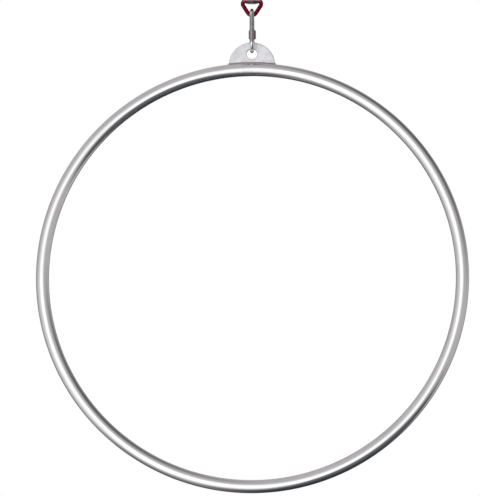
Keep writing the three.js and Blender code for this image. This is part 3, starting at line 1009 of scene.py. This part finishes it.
for ahead, shrink in latch_rows:
    place = Vector((0, bend_radius, nose_z - ahead))
    bar_rings.append(flat_section(place, down, latch_blade_half - shrink, tang_half - shrink))
carabiner_body = ring_mesh("bent_carabiner_bar", bar_rings, capped=True)

# %% [markdown]
# The rivet's hole and the hook's notch are milled last. The notch is open towards the inside, so that
# the gate can swing in, and hooks the pin when the carabiner is pulled.

# %% Mill the hole and the hook
rivet_radius = 0.0015
running_gap = 0.0003
close_gap = running_gap / 3
notch_gap = 0.0004
mill_reach = 0.008
pin_low, pin_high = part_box("gate_latch_pin")
pin_radius = (pin_high.z - pin_low.z) / 2
pin_place = (pin_low + pin_high) / 2
notch_radius = pin_radius + notch_gap
notch_size = (mill_reach * 2, mill_reach, notch_radius * 2)
notch_place = pin_place - Vector((0, mill_reach / 2, 0))

drill(carabiner_body, rivet_radius + running_gap, mill_reach, hinge, "X")
drill(carabiner_body, notch_radius, mill_reach, pin_place, "X")
combine(carabiner_body, block("hook_mill", notch_size, notch_place))
dress(carabiner_body, carabiner_finish, "carabiner", "plated_steel", "carabiner_body")

# %% [markdown]
# ## The gate
#
# The gate is a turned barrel. Its lower end is a fork that straddles the tang on the rivet, and its
# upper end is slotted for the hook. Between them is the thread that the sleeve runs on. The thread is
# real: every ring of points is pushed in by how far it lies from the crest of the helix.

# %% Shape of the thread
bulge_radius = gate_high.x
bulge_height = 0.0056
bulge_top = hinge.z + bulge_height
bulge_taper = 0.0014
bulge_edge = 0.0004
barrel_radius = 0.00397
thread_pitch = 0.00125
thread_depth = 0.0004
thread_lead = 0.0015
thread_rest = 0.0018
thread_start = bulge_top + thread_lead
thread_end = nose_z - latch_length - thread_rest
thread_fade = 0.0012
crest_share = 0.2
flank_share = 0.65


def threaded(radius, angle, z):
    """The barrel's radius, less by how deep the surface lies under the crest of the thread."""
    fade = min(1.0, (z - thread_start) / thread_fade, (thread_end - z) / thread_fade)
    if fade <= 0:
        return radius
    phase = ((z - thread_start) / thread_pitch - angle / tau) % 1.0
    flank = min(1.0, max(0.0, (abs(phase - 0.5) * 2 - crest_share) / flank_share))
    return radius - thread_depth * fade * (1 - flank)


# %% Turn the barrel with its thread
barrel_sides = 64
steps_per_turn = 10
thread_steps = round((thread_end - thread_start) / thread_pitch * steps_per_turn)

barrel_rows = soften([
    (0.0, hinge.z), (bulge_radius, hinge.z), (bulge_radius, bulge_top - bulge_taper),
    (barrel_radius, bulge_top), (barrel_radius, thread_start),
], bulge_edge)
barrel_rows += [(barrel_radius, z) for z in span(thread_start, thread_end, thread_steps)[1:]]
barrel_end = [(barrel_radius, thread_end), (barrel_radius, gate_high.z), (0.0, gate_high.z)]
barrel_rows += soften(barrel_end, edge_radius)[1:]
gate_axis = (0, hinge.y, 0)
gate_barrel = turn("threaded_gate_barrel", barrel_rows, gate_axis, sides=barrel_sides, shape=threaded)

# %% Fork both ends
rivet_low, rivet_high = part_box("gate_hinge_rivet")
rivet_half = rivet_high.x
head_radius = (rivet_high.z - rivet_low.z) / 2
head_depth = 0.00085
seat_gap = 0.00006


def mill_slot(name, bottom, top):
    """Slots the gate from back to front, as wide as a tang with its play."""
    size = (tang_half * 2 + running_gap * 2, mill_reach * 2, top - bottom)
    combine(gate_barrel, block(name, size, (0, hinge.y, (top + bottom) / 2)))


cheek_place = hinge - Vector((0, 0, bulge_radius - edge_radius))
cheek = rod("cheek_blank", bulge_radius, bulge_radius + edge_radius, cheek_place, "Z", barrel_sides)
cheek_round = rod("cheek_round", bulge_radius, mill_reach, hinge, "X", barrel_sides)
combine(cheek, cheek_round, "INTERSECT")
combine(gate_barrel, cheek, "UNION")
mill_slot("hinge_mill", hinge.z - mill_reach, hinge.z + hinge_eye_radius + running_gap)
mill_slot("latch_mill", nose_z - latch_length - running_gap * 2, gate_high.z + mill_reach)
drill(gate_barrel, pin_radius + close_gap, mill_reach, pin_place, "X")
drill(gate_barrel, rivet_radius + close_gap, mill_reach, hinge, "X")
for side in (-1, 1):
    seat = hinge + Vector((side * (rivet_half - head_depth - seat_gap + mill_reach / 2), 0, 0))
    drill(gate_barrel, head_radius + running_gap, mill_reach / 2, seat, "X")
dress(gate_barrel, carabiner_finish, "gate", "plated_steel", "gate_barrel")

# %% [markdown]
# The rivet is one turned pin with a domed head at each end, peened over. The latch pin is plain, with
# its ends just below the barrel's surface.

# %% Rivet and latch pin
dome_steps = 5
dome_share = 0.8
latch_pin_sides = 32
outline = [(0, -rivet_half)]
for angle in quarter(dome_steps)[1:]:
    rise = head_depth * dome_share * (1 - cos(angle))
    outline.append((head_radius * sin(angle), rise - rivet_half))
outline += [(head_radius, head_depth - rivet_half), (rivet_radius, head_depth - rivet_half)]
outline += [(radius, -height) for radius, height in reversed(outline)]
rivet = turn("domed_gate_rivet", outline, hinge, "X", pin_sides)
dress(rivet, fastener_finish, "carabiner", "plated_steel", "gate_hinge_rivet")
outline = soften(pin_outline(pin_radius, pin_high.x), edge_radius / 2)
latch_pin = turn("turned_latch_pin", outline, pin_place, "X", latch_pin_sides)
dress(latch_pin, fastener_finish, "gate", "plated_steel", "gate_latch_pin")

# %% [markdown]
# ## The screw sleeve
#
# The sleeve is a fluted tube with chamfered ends, which fingers can grip. The flutes are pressed into
# the outside of every ring, and run out before the chamfers, as a milling cutter leaves them.

# %% Flute the sleeve
sleeve_low, sleeve_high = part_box("screw_sleeve")
sleeve_radius = (sleeve_high.y - sleeve_low.y) / 2
sleeve_bore = stock_radius + running_gap
sleeve_chamfer = 0.0012
sleeve_steps = 18
flutes = 12
flute_depth = 0.00042
flute_run_out = 0.0016
sleeve_sides = flutes * 12
chamfer_radius = sleeve_radius - sleeve_chamfer
flute_low_z = sleeve_low.z + sleeve_chamfer
flute_high_z = sleeve_high.z - sleeve_chamfer


def fluted(radius, angle, z):
    """The sleeve's radius, less by the depth of a flute. The bore stays round."""
    if radius <= sleeve_radius - sleeve_chamfer / 2:
        return radius
    fade = min(1.0, max(0.0, min(z - flute_low_z, flute_high_z - z) / flute_run_out))
    return radius - flute_depth * fade * max(0.0, cos(angle * flutes)) ** 2


outline = [(chamfer_radius, sleeve_low.z)]
outline += [(sleeve_radius, z) for z in span(flute_low_z, flute_high_z, sleeve_steps)]
outline += [
    (chamfer_radius, sleeve_high.z),
    (sleeve_bore + edge_radius, sleeve_high.z), (sleeve_bore, sleeve_high.z - edge_radius),
    (sleeve_bore, sleeve_low.z + edge_radius), (sleeve_bore + edge_radius, sleeve_low.z),
]
outline = soften(outline, edge_radius / 2, closed=True, steps=2)
sleeve = turn("fluted_screw_sleeve", outline, gate_axis, "Z", sleeve_sides, True, fluted)
dress(sleeve, sleeve_finish, "sleeve", "red_anodised", "screw_sleeve")

# %% [markdown]
# ## The swivel's two eyes
#
# Each half of the swivel is one forging: a thick disc, the housing, with a triangular eye grown out
# of it. A bar swept round the triangle and a turned disc are joined, and the joined block is remeshed
# into small even cells and smoothed. That melts the join into the soft fillet of a forging.

# %% Shape of an eye
eye_low, eye_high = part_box("swivel_lower_eye")
corner_outer = 0.011
eye_corner = corner_outer - eye_bar
apex_inner = 0.0052
eye_apex = apex_inner + eye_bar
corner_x = eye_high.x - corner_outer
corner_depth = housing_height + corner_outer - eye_bar * 2
apex_depth = split_z - eye_low.z - eye_bar - eye_apex
leg_run = Vector((-corner_x, corner_depth - apex_depth))
leg_normal = atan2(leg_run.y, leg_run.x) + acos((eye_corner - eye_apex) / leg_run.length)
corner_arc_steps = 14
apex_arc_steps = 20


def arc_points(x, depth, radius, start, end, steps):
    z = split_z - depth
    angles = span(start, end, steps)
    return [Vector((x + radius * cos(a), 0, z + radius * sin(a))) for a in angles]


far_normal = -pi - leg_normal
eye_line = arc_points(corner_x, corner_depth, eye_corner, pi / 2, leg_normal, corner_arc_steps)
eye_line += arc_points(0, apex_depth, eye_apex, leg_normal, far_normal, apex_arc_steps)
eye_line += arc_points(
    -corner_x, corner_depth, eye_corner, far_normal, -pi * 1.5, corner_arc_steps
)
print(f"eye line of {len(eye_line)} points, lowest {1000 * min(p.z for p in eye_line):.1f} mm")

# %% Forge an eye blank
eye_sides = 32
disc_sides = 96
housing_radius = eye_high.y
housing_chamfer = 0.0012
housing_z = split_z - housing_height
half_gap = 0.0003
forge_cell = 0.00042
forge_passes = 7
facing_stock = 0.0012
facing_size = (0.1, 0.1, 0.01)


def forged_eye(name):
    """The lower eye and its housing as one smooth blank, with stock left for facing at the split."""
    rings = []
    for k, here in enumerate(eye_line):
        along = (eye_line[(k + 1) % len(eye_line)] - eye_line[k - 1]).normalized()
        rings.append(circle(here, Vector((0, 1, 0)).cross(along), eye_bar, eye_sides))
    blank = ring_mesh(name, rings, closed=True)
    disc = turn("housing_blank", [
        (0, split_z + facing_stock), (housing_radius, split_z + facing_stock),
        (housing_radius, housing_z + housing_chamfer), (housing_radius - housing_chamfer, housing_z),
        (0, housing_z),
    ], sides=disc_sides)
    joined = bmesh.new()
    joined.from_mesh(blank.data)
    joined.from_mesh(disc.data)
    joined.to_mesh(blank.data)
    joined.free()
    bpy.data.objects.remove(disc)
    remesh = blank.modifiers.new("even cells", "REMESH")
    remesh.mode = "VOXEL"
    remesh.voxel_size = forge_cell
    melt = blank.modifiers.new("melt the join", "SMOOTH")
    melt.factor = 0.5
    melt.iterations = forge_passes
    keep_modifiers(blank)
    facing_place = (0, 0, split_z - half_gap + facing_size[2] / 2)
    combine(blank, block("facing_mill", facing_size, facing_place))
    return blank


# %% [markdown]
# The lower half is then bored for its bearing, and grooved for the seal. The bearing's room is open
# below, where the cap closes it.

# %% Bore the lower half
axle_low, axle_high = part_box("swivel_axle")
seal_low, seal_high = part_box("dust_seal")
cavity_radius = 0.0124
flange_depth = 0.0043
flange_z = split_z - flange_depth
collar_radius = 0.0078
collar_depth = 0.0018
collar_z = split_z - collar_depth
bush_bore = 0.0064
bore_overrun = 0.0005
groove_overrun = 0.001
seal_inner = 0.013
groove_inner = seal_inner - running_gap
groove_outer = seal_high.x + running_gap
groove_z = seal_low.z - running_gap

lower_eye = forged_eye("forged_lower_eye")
combine(lower_eye, turn("bearing_bore", [
    (0, split_z + facing_stock), (collar_radius, split_z + facing_stock),
    (collar_radius, collar_z), (bush_bore, collar_z), (bush_bore, flange_z),
    (cavity_radius, flange_z), (cavity_radius, housing_z - bore_overrun),
    (0, housing_z - bore_overrun),
]))
combine(lower_eye, turn("seal_groove", [
    (groove_inner, split_z + groove_overrun), (groove_inner, groove_z),
    (groove_outer, groove_z), (groove_outer, split_z + groove_overrun),
], closed=True))
dress(lower_eye, eye_finish, "spinner", "red_anodised", "swivel_lower_eye")

# %% [markdown]
# The upper half is the same forging turned over, bored for the axle, with a cross hole for the pin
# that locks the axle.

# %% Turn over and bore the upper half
axle_radius = 0.005
lock_low, lock_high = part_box("axle_lock_pin")
lock_radius = (lock_high.z - lock_low.z) / 2
lock_place = Vector((0, 0, (lock_high.z + lock_low.z) / 2))
axle_drill_half = 0.02
axle_drill_lift = 0.01
axle_drill_place = Vector((0, 0, split_z + axle_drill_lift))
lock_drill_half = 0.03
to_split = Matrix.Translation((0, 0, split_z))

upper_eye = forged_eye("forged_upper_eye")
upper_eye.data.transform(to_split @ Matrix.Rotation(pi, 4, "X") @ to_split.inverted())
drill(upper_eye, axle_radius + running_gap, axle_drill_half, axle_drill_place, "Z")
drill(upper_eye, lock_radius + running_gap, lock_drill_half, lock_place, "Y")
dress(upper_eye, eye_finish, "anchor", "red_anodised", "swivel_upper_eye")

# %% [markdown]
# ## Small turned parts of the swivel
#
# The axle has a broad head below and a chamfered end above, with the dimple that the lathe's centre
# leaves. A pin locks it in the upper housing.

# %% Axle and its pin
head_height = 0.0032
head_rim = 0.0005
end_chamfer = 0.0008
dimple_radius = 0.0012
dimple_depth = 0.0007
turned_edge = 0.0003
lock_edge = 0.0004
axle_drill_reach = 0.02
head_top = axle_low.z + head_height

axle = turn("turned_axle", soften([
    (0, axle_low.z), (axle_high.x - head_rim, axle_low.z), (axle_high.x, axle_low.z + head_rim),
    (axle_high.x, head_top), (axle_radius, head_top), (axle_radius, axle_high.z - end_chamfer),
    (axle_radius - end_chamfer, axle_high.z), (dimple_radius, axle_high.z),
    (0, axle_high.z - dimple_depth),
], turned_edge))
drill(axle, lock_radius + close_gap, axle_drill_reach, lock_place, "Y")
dress(axle, fastener_finish, "anchor", "plated_steel", "swivel_axle")
outline = soften(pin_outline(lock_radius, lock_high.y), lock_edge)
lock_pin = turn("turned_lock_pin", outline, lock_place, "Y", pin_sides)
dress(lock_pin, fastener_finish, "anchor", "plated_steel", "axle_lock_pin")

# %% [markdown]
# The rubber seal fills the split with a blunt lip, and a domed black cap closes the bearing from
# below. The cap's skirt stands up inside the housing, so both are drawn as one outline and turned.

# %% Seal and cap
seal_wide = seal_high.x
seal_lip = 0.0006
seal_draft = 0.0002
seal = turn("lipped_dust_seal", soften([
    (seal_inner, seal_low.z), (seal_inner, seal_high.z), (seal_wide - seal_lip, seal_high.z),
    (seal_wide, (seal_high.z + seal_low.z) / 2), (seal_wide - seal_draft, seal_low.z),
], turned_edge, closed=True), sides=disc_sides, closed=True)
dress(seal, rubber_finish, "spinner", "seal_rubber", "dust_seal")

cap_low, cap_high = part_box("bearing_cap")
cap_radius = cap_high.x
cap_rim = 0.001
cap_top = housing_z - running_gap
skirt_wall = 0.0012
skirt_outer = cavity_radius - running_gap
skirt_inner = skirt_outer - skirt_wall
floor_inside = axle_low.z - running_gap
dome_top = cap_top - cap_rim
cap_dome_steps = 14
dome = []
for angle in quarter(cap_dome_steps):
    fall = (dome_top - cap_low.z) * cos(angle)
    dome.append((cap_radius * sin(angle), dome_top - fall))
skirt = soften([
    dome[-1], (cap_radius, cap_top), (skirt_outer, cap_top), (skirt_outer, cap_high.z),
    (skirt_inner, cap_high.z), (skirt_inner, floor_inside), (0, floor_inside),
], turned_edge)
cap = turn("domed_bearing_cap", dome[:-1] + skirt, sides=disc_sides)
dress(cap, cap_finish, "spinner", "black_polymer", "bearing_cap")

# %% [markdown]
# ## Inside the bearing
#
# The races, the cage, its balls and the bush already have their true shape in the frame. Such a node
# stays as it is, and its material slot is linked to the object and given a real finish.

# %% Finish what stays
inner_finishes = {"bearing_race_upper": bearing_finish, "bearing_race_lower": bearing_finish}
inner_finishes.update({"bearing_cage": bronze_finish, "radial_bush": bronze_finish})
balls = [name for name in frame["nodes"] if name.startswith("bearing_ball")]
inner_finishes.update({name: bearing_finish for name in balls})
for name, finish in inner_finishes.items():
    for material_slot in frame["nodes"][name].material_slots:
        material_slot.link = "OBJECT"
        material_slot.material = finish
print(len(inner_finishes), "nodes keep their own shape")

# %% [markdown]
# ## The studio
#
# Polished metal has hardly any colour of its own: it shows the room. Photographers place lit windows
# and dark cloths round the object to draw the bright band and the dark sides of a tube. Planes could
# stand in for them here. Patches painted on the world by direction are simpler: they look the same
# from every part of the hoop, and only reflections see them.

# %% Patches of light by direction
def towards(azimuth, elevation):
    """A direction. Azimuth 0 is the camera's side and 90 the object's right, in degrees."""
    turned = radians(azimuth)
    rise = radians(elevation)
    return sin(turned) * cos(rise), -cos(turned) * cos(rise), sin(rise)


def light_patch(seen, azimuth, elevation, full, soft, colour):
    """Lays a round patch over the colour seen so far: full inside an angle, then a soft rim."""
    view = coordinates(seen, "Generated")
    facing = vector_maths("DOT_PRODUCT", view, towards(azimuth, elevation))["Value"]
    rim, core = [cos(radians(angle)) for angle in (full + soft, full)]
    return blend(spread(facing, rim, core), seen, colour)


def grey(level, warmth=0.0):
    return level * (1 + warmth), level, level * (1 - warmth), 1


# %% [markdown]
# The room is mid grey, and darker towards the ground. Each row of the list is one patch: its azimuth
# and elevation, the angle that it fills, the width of its soft rim and its colour. Later patches lie
# over earlier ones. Surfaces that aren't glossy see one plain grey, and the camera sees white.

# %% World
plain_grey = grey(0.85)
camera_white = grey(1.0)
ground_grey = grey(0.30, -0.015)
room_grey = grey(0.64, 0.02)
ground_rise = (-0.72, -0.58)
light_patches = [
    (183, -8, 0, 74, grey(0.01)),
    (56, -60, 30, 17, grey(0.1, -0.13)),
    (142, -58, 10, 26, grey(0.05, -0.1)),
    (-30, -15, 14, 50, grey(1.08)),
    (-14, -12, 4, 36, grey(1.75)),
    (32, -38, 4, 22, grey(0.2)),
    (82, 48, 0, 50, grey(0.16, 0.02)),
    (180, 8, 12, 26, grey(1.5)),
]

world = bpy.data.worlds.new("Studio")
bpy.context.scene.world = world
world.use_nodes = True
tree = world.node_tree
ray = new_node(tree, "LightPath").outputs
height = axes_of(coordinates(tree, "Generated"))["Z"]
seen = blend(spread(height, *ground_rise), ground_grey, room_grey)
for patch in light_patches:
    seen = light_patch(seen, *patch)
seen = blend(ray["Is Glossy Ray"], plain_grey, seen)
seen = blend(ray["Is Camera Ray"], seen, camera_white)
fill(tree.nodes["Background"].inputs, Color=seen)
print(len(light_patches), "patches of light and shade")

# %% [markdown]
# The lamps are plain and soft, and reflections don't see them. The floor is pale and far enough below
# the hanging hoop to take only a soft shadow. It glows a little for the camera alone: so it shows as
# white as the backdrop, and the glow throws no light on the hoop.

# %% Floor and lamps
floor_z = -1.75
floor_reach = 40.0
floor_colour = (0.92, 0.92, 0.92, 1)
floor_glow = 0.19

floor_mesh = bmesh.new()
floor_mesh.faces.new(
    [floor_mesh.verts.new((x * floor_reach, y * floor_reach, floor_z)) for x, y in square]
)
floor = link_mesh("pale_floor", floor_mesh)
floor.visible_glossy = False
floor_finish, tree, sockets = new_finish(
    "Pale floor", metallic=0.0, roughness=0.9, Base_Color=floor_colour
)
seen_directly = new_node(tree, "LightPath").outputs["Is Camera Ray"]
glow = times(seen_directly, floor_glow)
fill(sockets, Emission_Color=(1, 1, 1, 1), Emission_Strength=glow)
floor.data.materials.append(floor_finish)


def soft_lamp(name, watts, size, place):
    """A square lamp that faces the middle of the hoop."""
    data = bpy.data.lights.new(name, "AREA")
    data.energy = watts
    data.size = size
    lamp = add_object(name, data)
    lamp.location = place
    lamp.rotation_euler = (hoop_centre - Vector(place)).to_track_quat("-Z", "Y").to_euler()
    lamp.visible_glossy = False


soft_lamp("key_lamp", watts=26.0, size=1.6, place=(-1.4, -2.2, 1.2))
soft_lamp("fill_lamp", watts=9.0, size=1.8, place=(1.9, -1.6, 0.2))
print("lamps:", ", ".join(light.name for light in bpy.data.lights))

# %% [markdown]
# ## The camera
#
# The photograph was taken from far away with a long lens, looking up a little at the hoop. The
# camera's place was found by fitting the tube's outline and the tab, so it is written as that fit: a
# turn, a tilt and the place of the hoop's centre in front of the lens.

# %% Camera
camera_tilt = -7.62
camera_turn = -2.0
centre_ahead = (0.0223, 6.5, -0.0526)
lens_mm = 264.35
camera_data = bpy.data.cameras.new("camera")
camera_data.sensor_fit = "HORIZONTAL"
camera_data.sensor_width = 36.0
camera_data.lens = lens_mm
camera = add_object("camera", camera_data)
tilt = Matrix.Rotation(radians(camera_tilt), 4, "X")
view_turn = tilt @ Matrix.Rotation(radians(camera_turn), 4, "Z")
back_turn = view_turn.inverted()
stand = hoop_centre - back_turn @ Vector(centre_ahead)
camera.matrix_world = Matrix.Translation(stand) @ back_turn @ Matrix.Rotation(pi / 2, 4, "X")
bpy.context.scene.camera = camera
bpy.context.scene.view_settings.view_transform = "Standard"
print("camera at", [round(c, 3) for c in stand])
